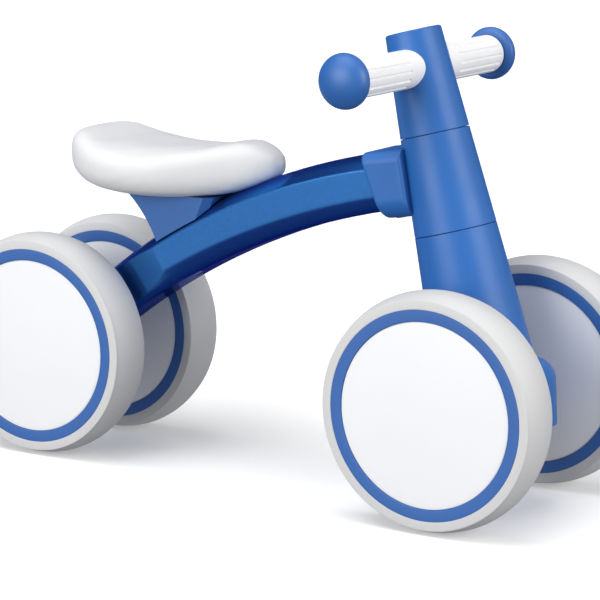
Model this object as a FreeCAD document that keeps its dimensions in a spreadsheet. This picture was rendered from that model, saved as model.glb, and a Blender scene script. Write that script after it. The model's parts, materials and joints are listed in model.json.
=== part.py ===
import FreeCAD, Part
import math
import os
import types

import Sketcher
from FreeCAD import Placement, Rotation, Vector

# A toddler's balance bike with four wheels: a steered column on two front wheels, an arched
# tube back to two rear wheels set closer together, a saddle on the tube and a straight
# handlebar with grips and round end knobs.
# Frame: +X forward, +Y to the rider's left, +Z up, origin on the ground midway between the
# axles. Millimetres.

SIZES = [
    ("wheel_base", 339.2, "between the two axles"),
    ("front_track", 148.6, "between the middles of the front wheels"),
    ("rear_track", 92.7, "between the middles of the rear wheels"),
    ("wheel_radius", 80.0, "to the middle of the tread"),
    ("wheel_width", 34.0, "over both faces of the tyre"),
    ("shoulder_radius", 76.5, "edge between tread and wheel face"),
    ("shoulder_round", 1.6, "rounding of that edge"),
    ("ring_outer", 70.0, "coloured trim ring, outside"),
    ("ring_inner", 62.1, "coloured trim ring, inside"),
    ("face_depth", 4.0, "how deep rings and discs sit in the face"),
    ("rim_radius", 66.0, "wheel core under the tyre"),
    ("rim_wall", 4.0, "thickness of the rim"),
    ("web_wall", 3.0, "thickness of the core's web"),
    ("web_hole", 9.0, "radius of the lightening holes in the web"),
    ("web_hole_circle", 36.0, "radius that the lightening holes lie on"),
    ("boss_radius", 12.0, "boss in the core around the axle"),
    ("boss_inner_end", 15.0, "from wheel middle to the boss's inner end"),
    ("boss_outer_end", 6.0, "from wheel middle to the boss's outer end"),
    ("disc_wall", 2.4, "thickness of a wheel disc at its edge"),
    ("disc_crown", 1.6, "how far a wheel disc domes"),
    ("disc_gap", 0.15, "gap between disc and ring"),
    ("disc_hole", 13.0, "radius of the hole in an inner disc"),
    ("disc_skirt", 2.5, "thickness of a disc's skirt"),
    ("disc_sink", 0.6, "disc's edge below the wheel's face"),
    ("bush_radius", 7.0, "outside of an axle bush"),
    ("bush_length", 8.0, "length of an axle bush"),
    ("axle_radius", 4.0, "both axles"),
    ("running_gap", 0.05, "radial clearance of a shaft in its bush"),
    ("side_gap", 0.3, "end clearance of a turning part"),
    ("axle_tip", 13.0, "from wheel middle to the axle's end"),
    ("axle_chamfer", 0.6, "bevel on the axle's ends"),
    ("washer_wall", 1.0, "axle washers"),
    ("washer_radius", 7.5, "axle washers"),
    ("nut_height", 5.0, "axle nuts"),
    ("nut_corner", 7.4, "axle nuts, half the width over corners"),
    ("spacer_radius", 9.0, "sleeves between frame and wheels"),
    ("tilt", 15.05, "lean of the steering column, top to the rear, in degrees"),
    ("column_base_radius", 35.24, "column radius, extended down to the front axle"),
    ("column_taper", 0.0662, "loss of radius per millimetre up the column"),
    ("column_top", 246.2, "from the front axle along the column"),
    ("upper_seam", 176.5, "from the front axle along the column"),
    ("lower_seam", 110.3, "from the front axle along the column"),
    ("seam_gap", 0.6, "open seam between two column sections"),
    ("seam_depth", 1.2, "how deep the seam is before the head's raised end"),
    ("seam_land", 0.4, "height of the head's raised ends inside the seams"),
    ("column_wall", 3.5, "wall of the column sections"),
    ("plate_wall", 6.0, "end plates inside the column sections"),
    ("rim_round", 1.0, "rounding of the column's top rim"),
    ("cap_inset", 2.2, "rim left round the cap in the column's top"),
    ("foot_radius", 44.9, "round foot of the fork, where it is widest"),
    ("foot_widest", 1.5, "its widest place, below the front axle"),
    ("foot_neck", 15.5, "where the column's cone meets the foot, above the axle"),
    ("foot_round", 16.0, "rounding of the foot's shoulder"),
    ("foot_low_radius", 39.4, "the foot at its flat underside"),
    ("foot_bottom", 31.0, "flat underside of the foot, below the axle"),
    ("foot_flat", 42.0, "flats on the foot where the spacers bear"),
    ("axle_sleeve", 9.0, "radius of the tube through the foot for the axle"),
    ("base_cap_radius", 27.0, "cap in the foot's underside"),
    ("base_cap_wall", 3.0, "cap in the foot's underside"),
    ("steerer_radius", 10.0, "steering shaft"),
    ("steerer_bore", 7.0, "inside of the steering shaft"),
    ("steerer_flange", 18.0, "radius of the flange under the fork's top plate"),
    ("steerer_flange_wall", 5.0, "thickness of that flange"),
    ("steerer_top", 196.0, "from the front axle along the column"),
    ("steerer_washer_wall", 1.5, "washer under the steering nut"),
    ("steerer_nut_corner", 15.0, "steering nut, half the width over corners"),
    ("steerer_nut_height", 8.0, "steering nut"),
    ("head_bush_radius", 13.0, "outside of the steering bushes"),
    ("head_flange_radius", 16.0, "flange of the steering bushes"),
    ("head_flange_wall", 1.5, "flange of the steering bushes"),
    ("head_flange_proud", 0.1, "how far the flanges stand out of the head"),
    ("stop_pin_radius", 1.8, "pin that limits the steering"),
    ("stop_pin_length", 9.0, "pin that limits the steering"),
    ("stop_pin_sink", 4.0, "depth of the pin in the head"),
    ("stop_circle", 19.5, "radius that the pin lies on"),
    ("stop_slot_half", 2.3, "half the width of the pin's slot"),
    ("steer_angle", 67.5, "steering to each side, in degrees"),
    ("bar_height", 221.5, "handlebar, from the front axle along the column"),
    ("bar_radius", 8.0, "handlebar tube"),
    ("bar_wall", 1.5, "handlebar tube"),
    ("bar_boss", 12.0, "boss inside the column around the handlebar"),
    ("grip_radius", 13.0, "grips"),
    ("grip_start", 10.0, "from the middle, inside the column's cone"),
    ("grip_end", 94.0, "from the middle to a grip's outer end"),
    ("flute_count", 12, "grooves round a grip"),
    ("flute_depth", 0.9, "depth of a groove"),
    ("flute_width", 1.6, "width of a groove"),
    ("flute_start", 33.0, "from the middle to the grooves' inner ends"),
    ("flute_finish", 90.0, "from the middle to the grooves' outer ends"),
    ("flute_slope", 1.0, "run of a groove's sloping ends"),
    ("knob_radius", 18.3, "handlebar end knobs"),
    ("knob_back", 95.0, "from the middle to a knob's flat back"),
    ("knob_end", 110.0, "from the middle to a knob's tip"),
    ("knob_rim", 3.0, "straight rim of a knob"),
    ("knob_round", 1.4, "rounding of the rim's back edge"),
    ("knob_spigot", 14.0, "length of the knob's spigot in the tube"),
    ("knob_step", 1.0, "spigot's shoulder behind the knob"),
    ("knob_dish", 2.0, "width of the flat at the back's rim"),
    ("clamp_head", 4.5, "radius of the handlebar clamp screw's head"),
    ("clamp_shank", 2.5, "radius of the handlebar clamp screw"),
    ("clamp_head_wall", 3.5, "height of its head"),
    ("arch_x", 187.0, "middle of the tube's arc"),
    ("arch_z", -277.0, "middle of the tube's arc"),
    ("arch_radius", 521.5, "top of the tube"),
    ("tube_half", 25.0, "half the width of the tube"),
    ("under_x", 222.9, "middle of the arc of the tube's underside"),
    ("under_z", -369.6, "middle of the arc of the tube's underside"),
    ("under_radius", 580.2, "underside of the tube"),
    ("under_rear_angle", 48.0, "past the tube's rear end, round the underside's arc"),
    ("under_front_angle", 6.0, "past the tube's front end, round the underside's arc"),
    ("tube_crown", 9.2, "tube's top to the edges of its flat sides"),
    ("tube_round", 12.5, "rounding of the tube's lower edges"),
    ("tube_wall", 2.5, "wall of the tube"),
    ("tube_rear_angle", 46.8, "rear end of the tube round its arc, in degrees"),
    ("tube_front_angle", 9.6, "front end of the tube round its arc, in degrees"),
    ("fold_angle", 32.7, "where the tube starts to narrow, in degrees"),
    ("fold_taper", 6.5, "how far each side then turns in, in degrees"),
    ("socket_half", 27.0, "half the width of the socket"),
    ("socket_depth", 46.0, "height of the socket, square to its axis"),
    ("socket_round_top", 8.0, "rounding of its upper edges"),
    ("socket_round_low", 13.5, "rounding of its lower edges"),
    ("socket_rise", 9.4, "slope of the socket, in degrees"),
    ("socket_x", 79.6, "rear end of the socket, upper edge"),
    ("socket_z", 235.6, "rear end of the socket, upper edge"),
    ("socket_lean", 23.0, "lean of the socket's rear end, in degrees"),
    ("socket_length", 52.0, "length of the socket block"),
    ("socket_edge", 2.2, "rounding round the socket's mouth"),
    ("socket_corner", 3.0, "rounding of the socket's front end, seen from above"),
    ("socket_reach", 9.0, "how far its front end goes into the column's cone"),
    ("rear_tube_radius", 13.0, "cross tube for the rear axle"),
    ("rear_tube_half", 26.0, "half its length"),
    ("plug_depth", 8.0, "plug in the tube's rear end"),
    ("post_half", 24.0, "half the width of the seat post"),
    ("post_top", 193.0, "top of the seat post"),
    ("post_wall", 4.0, "wall of the seat post"),
    ("post_gap", 0.8, "open seam between seat post and tube"),
    ("post_chamfer", 5.0, "bevel down the post's front corners"),
    ("post_rear_top", -113.0, "rear end of the post at its top"),
    ("post_rear_low", -86.0, "rear end of the post at the tube"),
    ("post_front_top", -41.5, "front end of the post at its top"),
    ("post_front_low", -50.5, "front end of the post at the tube"),
    ("post_low", 150.0, "below the tube's edge line at the post"),
    ("post_curve", 95.0, "radius of the hollow in the post's rear"),
    ("post_knee", 22.0, "front bend of the post, above its low end"),
    ("post_heel", 7.0, "rear bend of the post, above its low end"),
    ("plate_front", -55.0, "front end of the seat plate"),
    ("plate_rear", -116.0, "rear end of the seat plate"),
    ("plate_half", 32.0, "half the width of the seat plate"),
    ("plate_height", 7.0, "thickness of the seat plate"),
    ("seat_bolt_radius", 3.0, "bolts through the tube into the seat plate"),
    ("seat_bolt_head", 5.5, "radius of their heads"),
    ("seat_bolt_head_wall", 3.5, "height of their heads"),
    ("seat_washer_radius", 7.0, "washers under their heads"),
    ("seat_bolt_drop", 0.8, "washers below the tube's inner crown"),
    ("seat_bolt_rear", 31.5, "rear bolt round the tube's arc, in degrees"),
    ("seat_bolt_rear_tip", 556.0, "its tip, from the middle of that arc"),
    ("seat_bolt_front", 28.5, "front bolt round the tube's arc, in degrees"),
    ("seat_bolt_front_tip", 538.0, "its tip, from the middle of that arc"),
    ("access_radius", 3.5, "holes in the tube's underside for a key to the bolts"),
    ("access_start", 461.0, "low end of those holes, from the middle of the arc"),
    ("access_length", 30.0, "length of those holes"),
    ("screw_start", 476.6, "socket screw heads, from the middle of the tube's arc"),
    ("screw_head", 3.5, "radius of a socket screw's countersunk head"),
    ("screw_cone", 2.0, "height of its countersink"),
    ("screw_shank", 1.75, "radius of a socket screw"),
    ("screw_length", 9.0, "length of a socket screw"),
    ("screw_angle", 10.0, "socket screws round the tube's arc, in degrees"),
    ("screw_half", 9.0, "socket screws, each side of the middle"),
]

# The cushion's cross-sections, front to rear: place, half width, underside, top.
SEAT_SECTIONS = [
    (1.5, 11.0, 210.5, 219.0),
    (-6.0, 20.0, 208.5, 226.5),
    (-19.0, 25.0, 204.0, 230.0),
    (-45.0, 31.0, 196.0, 228.0),
    (-80.0, 47.0, 193.5, 225.5),
    (-115.0, 56.5, 194.5, 227.5),
    (-138.0, 57.0, 196.0, 233.0),
    (-154.0, 44.0, 199.5, 234.0),
    (-161.5, 22.0, 205.0, 230.0),
]

# Plain blocks that only cut material away are this large, so that they pass right through.
CUTTER = 200.0
# How far a cutting form stands past the face that it cuts.
OVERCUT = 1.0


class Size:
    """A number together with the spreadsheet expression that it comes from."""

    def __init__(self, value, text):
        self.value = value
        self.text = text

    def join(self, other, sign, value):
        return Size(value, f"({self.text} {sign} {other.text})")

    def __add__(self, other):
        other = as_size(other)
        return self.join(other, "+", self.value + other.value)

    def __sub__(self, other):
        other = as_size(other)
        return self.join(other, "-", self.value - other.value)

    def __mul__(self, other):
        other = as_size(other)
        return self.join(other, "*", self.value * other.value)

    def __truediv__(self, other):
        other = as_size(other)
        return self.join(other, "/", self.value / other.value)

    def __neg__(self):
        return Size(-self.value, f"(0 - {self.text})")

    def __radd__(self, other):
        return as_size(other) + self

    def __rsub__(self, other):
        return as_size(other) - self

    def __rmul__(self, other):
        return as_size(other) * self

    def __float__(self):
        return float(self.value)


def as_size(number):
    return number if isinstance(number, Size) else Size(float(number), f"({float(number)})")


def root(size):
    return Size(math.sqrt(size.value), f"sqrt({size.text})")


def arc_radius(half_chord, rise):
    """Radius of the arc that rises this far over this half chord."""
    return (half_chord * half_chord + rise * rise) / (2 * rise)


def make_sheet(document):
    """Writes the driving dimensions to a spreadsheet and returns them as named sizes."""
    sheet = document.addObject("Spreadsheet::Sheet", "Sizes")
    rows = list(SIZES)
    for number, section in enumerate(SEAT_SECTIONS, 1):
        for part, value in zip(("place", "half", "low", "top"), section):
            rows.append((f"seat_{part}_{number}", value, f"cushion section {number}, {part}"))
    named = {}
    for row, (alias, value, meaning) in enumerate(rows, 1):
        sheet.set(f"A{row}", meaning)
        sheet.set(f"B{row}", str(value))
        sheet.setAlias(f"B{row}", alias)
        named[alias] = Size(value, f"Sizes.{alias}")
    document.recompute()
    return types.SimpleNamespace(**named)


doc = FreeCAD.newDocument("balance_bike")
size = make_sheet(doc)
parts = {}


# ---------------------------------------------------------------- building blocks


def keep(node, made, placement=None):
    """Marks an object as one of the bike's pieces and names it."""
    made.Label = node
    if placement is not None:
        made.Placement = placement
    parts[node] = made
    return made


def bind(made, **properties):
    """Binds properties to sizes from the sheet, or sets them when they are plain."""
    for name, value in properties.items():
        if isinstance(value, Size):
            setattr(made, name, value.value)
            made.setExpression(name, value.text)
        else:
            setattr(made, name, value)


def sketch_on(body, plane, name):
    """A sketch on one of the body's own origin planes."""
    sketch = body.newObject("Sketcher::SketchObject", name)
    origin_plane = [item for item in body.Origin.OriginFeatures if item.Role == plane][0]
    sketch.AttachmentSupport = [(origin_plane, "")]
    sketch.MapMode = "FlatFace"
    return sketch


def hold(sketch, constraint, wanted):
    index = sketch.addConstraint(constraint)
    if isinstance(wanted, Size):
        sketch.setExpression(f"Constraints[{index}]", wanted.text)


def hold_corner(sketch, edge, end, corner):
    """Fixes one corner's two coordinates, from the sheet where they come from it."""
    for kind, axis, wanted in (("DistanceX", -2, corner[0]), ("DistanceY", -1, corner[1])):
        if float(wanted) == 0.0:
            sketch.addConstraint(Sketcher.Constraint("PointOnObject", edge, end, axis))
        else:
            hold(sketch, Sketcher.Constraint(kind, edge, end, float(wanted)), wanted)


def add_arc(sketch, start, finish, radius, turn):
    """The short arc from start to finish. turn is 1 when it runs anticlockwise, else -1."""
    chord = finish - start
    aside = Vector(-chord.y, chord.x, 0).normalize()
    height = math.sqrt(max(float(radius) ** 2 - chord.Length**2 / 4, 0.0))
    centre = (start + finish) / 2 + aside * (height * turn)
    angles = [math.atan2(p.y - centre.y, p.x - centre.x) for p in (start, finish)]
    circle = Part.Circle(centre, Vector(0, 0, 1), float(radius))
    first, last = angles if turn > 0 else reversed(angles)
    edge = sketch.addGeometry(Part.ArcOfCircle(circle, first, last))
    hold(sketch, Sketcher.Constraint("Radius", edge, float(radius)), radius)
    return (edge, 1, 2) if turn > 0 else (edge, 2, 1)


def draw_outline(sketch, corners):
    """Draws a closed outline. A corner is (x, y), or (x, y, radius, turn) after an arc."""
    points = [Vector(float(corner[0]), float(corner[1]), 0) for corner in corners]
    edges = []
    for index, corner in enumerate(corners):
        start, finish = points[index - 1], points[index]
        if len(corner) == 2:
            edges.append((sketch.addGeometry(Part.LineSegment(start, finish)), 1, 2))
        else:
            edges.append(add_arc(sketch, start, finish, corner[2], corner[3]))
    for index, (edge, _, last) in enumerate(edges):
        following, first, _ = edges[(index + 1) % len(edges)]
        sketch.addConstraint(Sketcher.Constraint("Coincident", edge, last, following, first))
        hold_corner(sketch, edge, last, corners[index])


def turned(name, corners, placement=None, plane="XZ_Plane", axis="V_Axis", angle=None):
    """A body turned from an outline: by default of (radius, height) about its own Z."""
    body = doc.addObject("PartDesign::Body", name)
    sketch = sketch_on(body, plane, name + "_outline")
    draw_outline(sketch, corners)
    turn = body.newObject("PartDesign::Revolution", name + "_turn")
    turn.Profile = sketch
    turn.ReferenceAxis = (sketch, [axis])
    if angle is None:
        turn.Angle = 360
    else:
        bind(turn, Angle=angle)
    if placement is not None:
        body.Placement = placement
    return body


def extruded(name, plane, corners, length, placement=None):
    """A body extruded evenly to both sides of an outline."""
    body = doc.addObject("PartDesign::Body", name)
    sketch = sketch_on(body, plane, name + "_outline")
    draw_outline(sketch, corners)
    pad = body.newObject("PartDesign::Pad", name + "_pad")
    pad.Profile = sketch
    pad.SideType = "Symmetric"
    bind(pad, Length=length)
    if placement is not None:
        body.Placement = placement
    return body


def cylinder(name, radius, height, placement, **more):
    made = doc.addObject("Part::Cylinder", name)
    bind(made, Radius=radius, Height=height, **more)
    made.Placement = placement
    return made


def box(name, length, width, height, placement):
    made = doc.addObject("Part::Box", name)
    bind(made, Length=length, Width=width, Height=height)
    made.Placement = placement
    return made


def joined(name, shapes):
    made = doc.addObject("Part::MultiFuse", name)
    made.Shapes = shapes
    made.Refine = True
    return made


def grouped(name, shapes):
    made = doc.addObject("Part::Compound", name)
    made.Links = shapes
    return made


def without(name, base, tool):
    made = doc.addObject("Part::Cut", name)
    made.Base = base
    made.Tool = tool
    return made


def mirrored(name, source):
    """The same piece on the bike's other side."""
    made = doc.addObject("Part::Mirroring", name)
    made.Source = source
    made.Normal = Vector(0, 1, 0)
    return made


def both_sides(name, source):
    return grouped(name, [source, mirrored(name + "_other", source)])


# ---------------------------------------------------------------- places


def at(x, y, z, rotation=None):
    return Placement(Vector(float(x), float(y), float(z)), rotation or Rotation())


def along_y(x, y, z, side=1):
    """Points a piece's own Z to the left (side 1) or to the right (side -1)."""
    return at(x, y, z, Rotation(Vector(0, 0, 1), Vector(0, side, 0)))


Y_AXIS = Vector(0, 1, 0)
Z_AXIS = Vector(0, 0, 1)
FRONT_X = size.wheel_base / 2
REAR_X = -size.wheel_base / 2
COLUMN = at(FRONT_X, 0, size.wheel_radius, Rotation(Y_AXIS, -float(size.tilt)))
ARCH = at(size.arch_x, 0, size.arch_z)


def on_column(height, turn=None):
    """A place on the column's axis, this far up from the front axle."""
    return COLUMN * at(0, 0, height, turn)


def round_arch(angle):
    """The tube's own frame at this many degrees behind the top of its arc."""
    return ARCH * Placement(Vector(), Rotation(Y_AXIS, -float(angle)))


def column_radius(height):
    return size.column_base_radius - size.column_taper * height


# ---------------------------------------------------------------- wheels


def wheel_tyre(name):
    half = size.wheel_width / 2
    lip = half - size.face_depth
    rim = size.rim_radius
    round_off = size.shoulder_round
    return turned(name, [
        (rim, -lip),
        (size.ring_outer, -lip),
        (size.ring_outer, -half),
        (size.shoulder_radius - round_off, -half),
        (size.shoulder_radius, -half + round_off, round_off, 1),
        (size.shoulder_radius, half - round_off,
         arc_radius(half - round_off, size.wheel_radius - size.shoulder_radius), 1),
        (size.shoulder_radius - round_off, half, round_off, 1),
        (size.ring_outer, half),
        (size.ring_outer, lip),
        (rim, lip),
    ])


def wheel_core(name):
    """Rim, web with lightening holes, and the boss that holds the axle bushes."""
    half = size.wheel_width / 2
    lip = half - size.face_depth
    inner_rim = size.rim_radius - size.rim_wall
    body = turned(name, [
        (size.bush_radius, -size.boss_inner_end),
        (size.boss_radius, -size.boss_inner_end),
        (size.boss_radius, -size.web_wall),
        (inner_rim, -size.web_wall),
        (inner_rim, -lip),
        (size.rim_radius, -lip),
        (size.rim_radius, lip),
        (inner_rim, lip),
        (inner_rim, 0),
        (size.boss_radius, 0),
        (size.boss_radius, size.boss_outer_end),
        (size.bush_radius, size.boss_outer_end),
    ])
    sketch = sketch_on(body, "XY_Plane", name + "_hole")
    circle = sketch.addGeometry(
        Part.Circle(Vector(float(size.web_hole_circle), 0, 0), Z_AXIS, float(size.web_hole)))
    hold(sketch, Sketcher.Constraint("Radius", circle, float(size.web_hole)), size.web_hole)
    hold_corner(sketch, circle, 3, (size.web_hole_circle, 0))
    pocket = body.newObject("PartDesign::Pocket", name + "_pocket")
    pocket.Profile = sketch
    pocket.Type = "ThroughAll"
    pocket.SideType = "Symmetric"
    pattern = body.newObject("PartDesign::PolarPattern", name + "_holes")
    pattern.Originals = [pocket]
    pattern.Axis = (sketch, ["N_Axis"])
    pattern.Occurrences = 6
    body.Tip = pattern
    return body


def wheel_disc(name, hole):
    """A slightly domed disc in the wheel's face, with a skirt that snaps into the rim."""
    half = size.wheel_width / 2
    edge = size.ring_inner - size.disc_gap
    skirt = edge - size.disc_skirt
    face = half - size.disc_sink
    dome = arc_radius(edge, size.disc_crown)
    under = face - size.disc_wall
    if hole is None:
        return turned(name, [
            (0, under),
            (skirt, under),
            (skirt, half - size.face_depth),
            (edge, half - size.face_depth),
            (edge, face),
            (0, face + size.disc_crown, dome, 1),
        ])
    hole_top = face + size.disc_crown - (dome - root(dome * dome - hole * hole))
    return turned(name, [
        (hole, under),
        (skirt, under),
        (skirt, half - size.face_depth),
        (edge, half - size.face_depth),
        (edge, face),
        (hole, hole_top, dome, 1),
    ])


def face_ring(name, side):
    """The coloured trim ring between a disc and the tyre."""
    half = size.wheel_width / 2
    low = half - size.face_depth
    return turned(name, [
        (size.ring_inner, side * low),
        (size.ring_outer, side * low),
        (size.ring_outer, side * half),
        (size.ring_inner, side * half),
    ])


def axle_bush(name, start):
    return turned(name, [
        (size.axle_radius + size.running_gap, start),
        (size.bush_radius, start),
        (size.bush_radius, start + size.bush_length),
        (size.axle_radius + size.running_gap, start + size.bush_length),
    ])


def make_wheel(wheel, place, flipped):
    """One wheel's six pieces. The wheel's own +Z points away from the bike."""
    keep(wheel + "_tyre", wheel_tyre(wheel + "_tyre"), place)
    keep(wheel + "_core", wheel_core(wheel + "_core"), place)
    keep(wheel + "_outer_disc", wheel_disc(wheel + "_outer_disc", None), place)
    keep(wheel + "_inner_disc", wheel_disc(wheel + "_inner_disc", size.disc_hole), flipped)
    rings = [face_ring(f"{wheel}_ring_{side}", side) for side in (1, -1)]
    keep(wheel + "_rings", grouped(wheel + "_rings", rings), place)
    starts = (-size.boss_inner_end, size.boss_outer_end - size.bush_length)
    bushes = [axle_bush(f"{wheel}_bush_{number}", start) for number, start in enumerate(starts)]
    keep(wheel + "_bushes", grouped(wheel + "_bushes", bushes), place)


def make_wheels():
    for end, x, track in (("front", FRONT_X, size.front_track), ("rear", REAR_X, size.rear_track)):
        for hand, side in (("left", 1), ("right", -1)):
            middle = track / 2 * side
            place = along_y(x, middle, size.wheel_radius, side)
            flipped = along_y(x, middle, size.wheel_radius, -side)
            make_wheel(f"wheel_{end}_{hand}", place, flipped)


def make_axle(end, x, track, spacer_start):
    """An axle with its spacers, washers and nuts, the last ones under the outer discs."""
    middle = track / 2
    half = middle + size.axle_tip
    centre = along_y(x, 0, size.wheel_radius)
    bevel = size.axle_chamfer
    keep(end + "_axle", turned(end + "_axle", [
        (0, -half),
        (size.axle_radius - bevel, -half),
        (size.axle_radius, -half + bevel),
        (size.axle_radius, half - bevel),
        (size.axle_radius - bevel, half),
        (0, half),
    ]), centre)
    spacer_end = middle - size.boss_inner_end - size.side_gap
    spacer = turned(end + "_spacer", [
        (size.axle_radius, spacer_start),
        (size.spacer_radius, spacer_start),
        (size.spacer_radius, spacer_end),
        (size.axle_radius, spacer_end),
    ], centre)
    keep(end + "_spacers", both_sides(end + "_spacers", spacer))
    washer_start = middle + size.boss_outer_end + size.side_gap
    nut_start = washer_start + size.washer_wall
    washer = turned(end + "_washer", [
        (size.axle_radius, washer_start),
        (size.washer_radius, washer_start),
        (size.washer_radius, nut_start),
        (size.axle_radius, nut_start),
    ], centre)
    keep(end + "_axle_washers", both_sides(end + "_axle_washers", washer))
    nut = hex_nut(end + "_nut", size.nut_corner, size.nut_height, size.axle_radius,
                  along_y(x, nut_start, size.wheel_radius))
    keep(end + "_axle_nuts", both_sides(end + "_axle_nuts", nut))


def hex_nut(name, corner, height, bore, place):
    blank = doc.addObject("Part::Prism", name + "_blank")
    blank.Polygon = 6
    bind(blank, Circumradius=corner, Height=height)
    blank.Placement = place
    return without(name, blank, cylinder(name + "_bore", bore, height, place))


# ---------------------------------------------------------------- steering column


def cone_solid(name, low, high):
    """The column's outer cone between two heights."""
    return turned(name, [
        (0, low), (column_radius(low), low), (column_radius(high), high), (0, high),
    ], COLUMN)


def make_column_upper():
    """The top section: it turns with the fork and holds the handlebar."""
    low = size.upper_seam + size.seam_gap / 2
    floor = low + size.plate_wall
    ledge = size.column_top - size.base_cap_wall
    wall = size.column_wall
    cap_radius = column_radius(size.column_top) - size.cap_inset
    shell = turned("column_upper_shell", [
        (size.steerer_radius, low),
        (column_radius(low), low),
        (column_radius(size.column_top - size.rim_round), size.column_top - size.rim_round),
        (column_radius(size.column_top) - size.rim_round, size.column_top),
        (cap_radius, size.column_top),
        (cap_radius, ledge),
        (column_radius(ledge) - wall, ledge),
        (column_radius(floor) - wall, floor),
        (size.steerer_radius, floor),
    ], COLUMN)
    boss = doc.addObject("Part::Common", "bar_boss")
    boss.Base = cylinder("bar_boss_round", size.bar_boss, 2 * size.grip_end,
                         on_column(size.bar_height) * along_y(0, -size.grip_end, 0))
    boss.Tool = cone_solid("bar_boss_limit", low, size.column_top)
    blank = joined("column_upper_blank", [shell, boss])
    slot_half = math.degrees(math.asin(
        (float(size.stop_pin_radius) + float(size.side_gap)) / float(size.stop_circle)))
    sweep = 2 * (float(size.steer_angle) + slot_half)
    slot_place = on_column(low - OVERCUT, Rotation(Z_AXIS, 180 - sweep / 2))
    slot_height = size.plate_wall + 2 * OVERCUT
    slot_rim = cylinder("slot_rim", size.stop_circle + size.stop_slot_half,
                        slot_height, slot_place, Angle=sweep)
    slot_middle = cylinder("slot_middle", size.stop_circle - size.stop_slot_half,
                           slot_height, slot_place, Angle=sweep)
    slot = without("stop_slot", slot_rim, slot_middle)
    bar_hole = cylinder("bar_hole", size.bar_radius, 2 * size.grip_end,
                        on_column(size.bar_height) * along_y(0, -size.grip_end, 0))
    screw_hole = cylinder("clamp_hole", size.clamp_shank, size.bar_boss + OVERCUT,
                          on_column(size.bar_height))
    tools = grouped("column_upper_tools", [slot, bar_hole, screw_hole])
    keep("column_upper", without("column_upper", blank, tools))
    keep("column_cap", turned("column_cap", [
        (0, ledge), (cap_radius, ledge), (cap_radius, size.column_top), (0, size.column_top),
    ], COLUMN))


def make_head_shell(tube_solid):
    """The fixed middle section of the column, in one piece with the socket for the tube.

    Its two ends are raised inside the seams, so that a seam is a shallow groove.
    """
    low = size.lower_seam + size.seam_gap / 2
    high = size.upper_seam - size.seam_gap / 2
    bottom = low - size.seam_land
    top = high + size.seam_land
    flange = size.head_flange_wall - size.head_flange_proud
    floor = low + size.plate_wall
    ceiling = high - size.plate_wall
    bush = size.head_bush_radius
    rim = size.head_flange_radius
    cavity = turned("head_cavity", [
        (0, bottom),
        (rim, bottom),
        (rim, bottom + flange),
        (bush, bottom + flange),
        (bush, floor),
        (column_radius(floor) - size.column_wall, floor),
        (column_radius(ceiling) - size.column_wall, ceiling),
        (bush, ceiling),
        (bush, top - flange),
        (rim, top - flange),
        (rim, top),
        (0, top),
    ], COLUMN)
    cone = turned("head_cone", [
        (0, bottom),
        (column_radius(low) - size.seam_depth, bottom),
        (column_radius(low) - size.seam_depth, low),
        (column_radius(low), low),
        (column_radius(high), high),
        (column_radius(high) - size.seam_depth, high),
        (column_radius(high) - size.seam_depth, top),
        (0, top),
    ], COLUMN)
    blank = joined("head_blank", [cone, make_socket()])
    screws = make_socket_screws()
    pin = make_stop_pin(high)
    tools = grouped("head_tools", [cavity, tube_solid, screws, pin])
    keep("head_shell", without("head_shell", blank, tools))
    for name, start, side in (("head_bush_lower", bottom, 1), ("head_bush_upper", top, -1)):
        make_head_bush(name, start, side)


def make_head_bush(name, start, side):
    """A flanged bush. side says which way its sleeve runs from the section's end."""
    face = start - size.head_flange_proud * side
    shoulder = face + size.head_flange_wall * side
    end = start + size.plate_wall * side
    bore = size.steerer_radius + size.running_gap
    keep(name, turned(name, [
        (bore, face),
        (size.head_flange_radius, face),
        (size.head_flange_radius, shoulder),
        (size.head_bush_radius, shoulder),
        (size.head_bush_radius, end),
        (bore, end),
    ], COLUMN))


def make_socket():
    """The rounded rectangular sleeve that leaves the column towards the rear."""
    half = size.socket_half
    depth = size.socket_depth
    top = size.socket_round_top
    low = size.socket_round_low
    rise = float(size.socket_rise)
    place = at(size.socket_x, 0, size.socket_z, Rotation(Y_AXIS, -rise))
    body = doc.addObject("PartDesign::Body", "socket_block")
    sketch = sketch_on(body, "YZ_Plane", "socket_outline")
    draw_outline(sketch, [
        (half - low, -depth),
        (half, low - depth, low, 1),
        (half, -top),
        (half - top, 0, top, 1),
        (top - half, 0),
        (-half, -top, top, 1),
        (-half, low - depth),
        (low - half, -depth, low, 1),
    ])
    pad = body.newObject("PartDesign::Pad", "socket_pad")
    pad.Profile = sketch
    bind(pad, Length=size.socket_length)
    body.Placement = place
    fitted = doc.addObject("Part::Common", "socket_fitted")
    fitted.Base = body
    fitted.Tool = socket_plan()
    lean = Rotation(Y_AXIS, -float(size.socket_lean))
    waste = box("socket_waste", CUTTER, CUTTER, CUTTER,
                at(size.socket_x, 0, size.socket_z, lean) * at(-CUTTER, -CUTTER / 2, -CUTTER / 2))
    block = without("socket_cut", fitted, waste)
    doc.recompute()
    mouth = doc.addObject("Part::Fillet", "socket_round")
    mouth.Base = block
    radius = float(size.socket_edge)
    normal = lean.multVec(Vector(-1, 0, 0))
    mouth.Edges = [(index, radius, radius) for index in rim_edges(block.Shape, normal)]
    return mouth


def socket_plan():
    """The socket seen along the column: its front end is rounded off into the cone."""
    half = size.socket_half
    corner = size.socket_corner
    reach = size.socket_reach
    slope = math.degrees(math.atan(float(size.column_taper)))
    high = size.upper_seam
    rear_of_cone = on_column(high) * at(-column_radius(high), 0, 0, Rotation(Y_AXIS, slope))
    return extruded("socket_plan", "XY_Plane", [
        (-CUTTER, -half),
        (reach - corner, -half),
        (reach, corner - half, corner, 1),
        (reach, half - corner),
        (reach - corner, half, corner, 1),
        (-CUTTER, half),
    ], CUTTER, rear_of_cone)


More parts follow.
